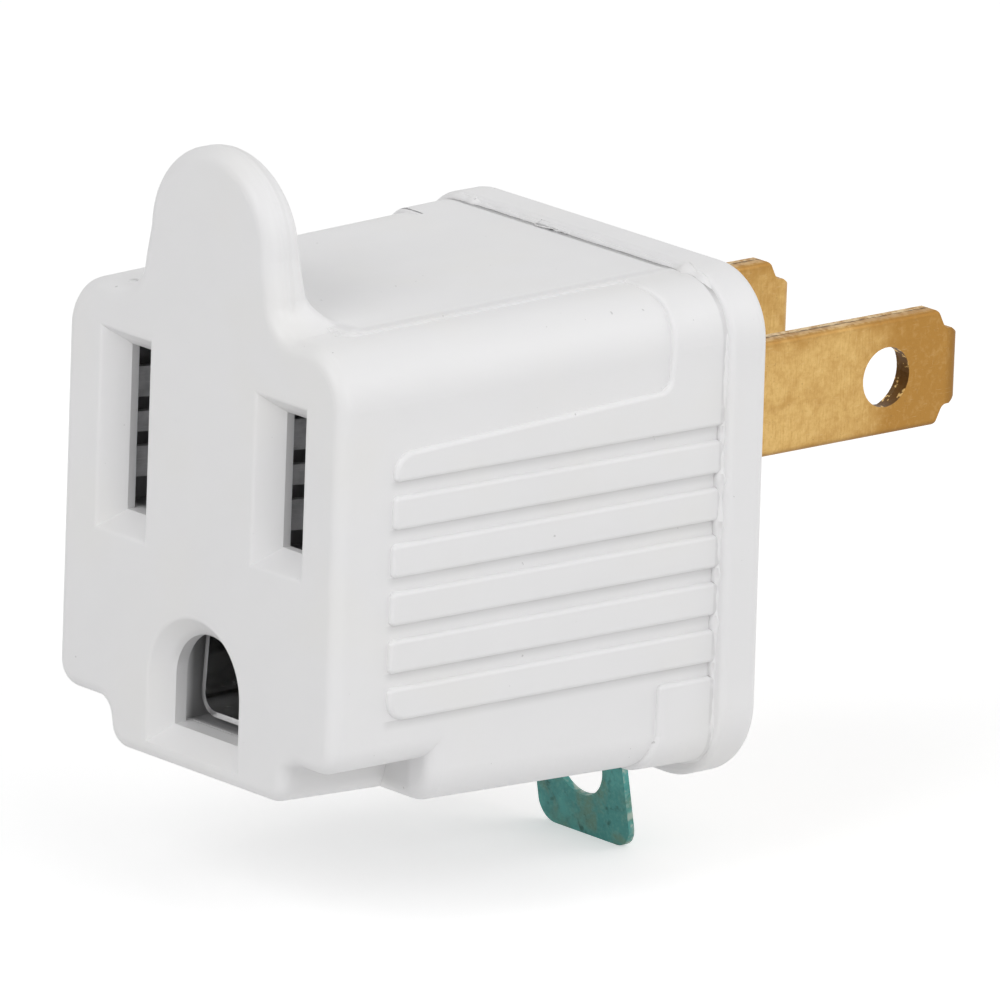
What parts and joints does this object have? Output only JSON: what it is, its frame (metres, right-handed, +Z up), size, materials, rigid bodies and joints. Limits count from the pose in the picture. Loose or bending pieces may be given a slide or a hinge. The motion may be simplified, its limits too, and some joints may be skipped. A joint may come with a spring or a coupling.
{
  "type": "grounding plug adapter",
  "caption": "Moulded plug adapter with a three-hole grounding receptacle and pull tab in front, flat blades at the back, and a ground ear for the wall plate screw.",
  "frame": {"origin": "on the plug face, which meets the wall socket, midway between the blades and at their middle height", "axes": "+Y along the blades towards the wall socket, +Z up towards the pull tab, +X to the right when the receptacle face is seen from the front, on the hot side"},
  "size_m": [0.0262, 0.047, 0.0415],
  "materials": {
    "body": "white moulded thermoplastic with a low gloss",
    "blade": "rolled brass strip, lightly scratched",
    "contact": "tin-plated spring strip, dull",
    "ground_channel": "bright plated strip",
    "rivet": "plain brass",
    "ear": "thin green dye over steel, worn at the edges"
  },
  "bodies": {
    "root": {"housing": "body", "rear_cover": "body", "hot_blade": "blade", "neutral_blade": "blade", "hot_contact": "contact", "neutral_contact": "contact", "hot_rivet": "rivet", "neutral_rivet": "rivet", "ground_contact": "ground_channel", "ground_ear": "ear", "ground_rivet": "rivet"}
  },
  "joints": []
}
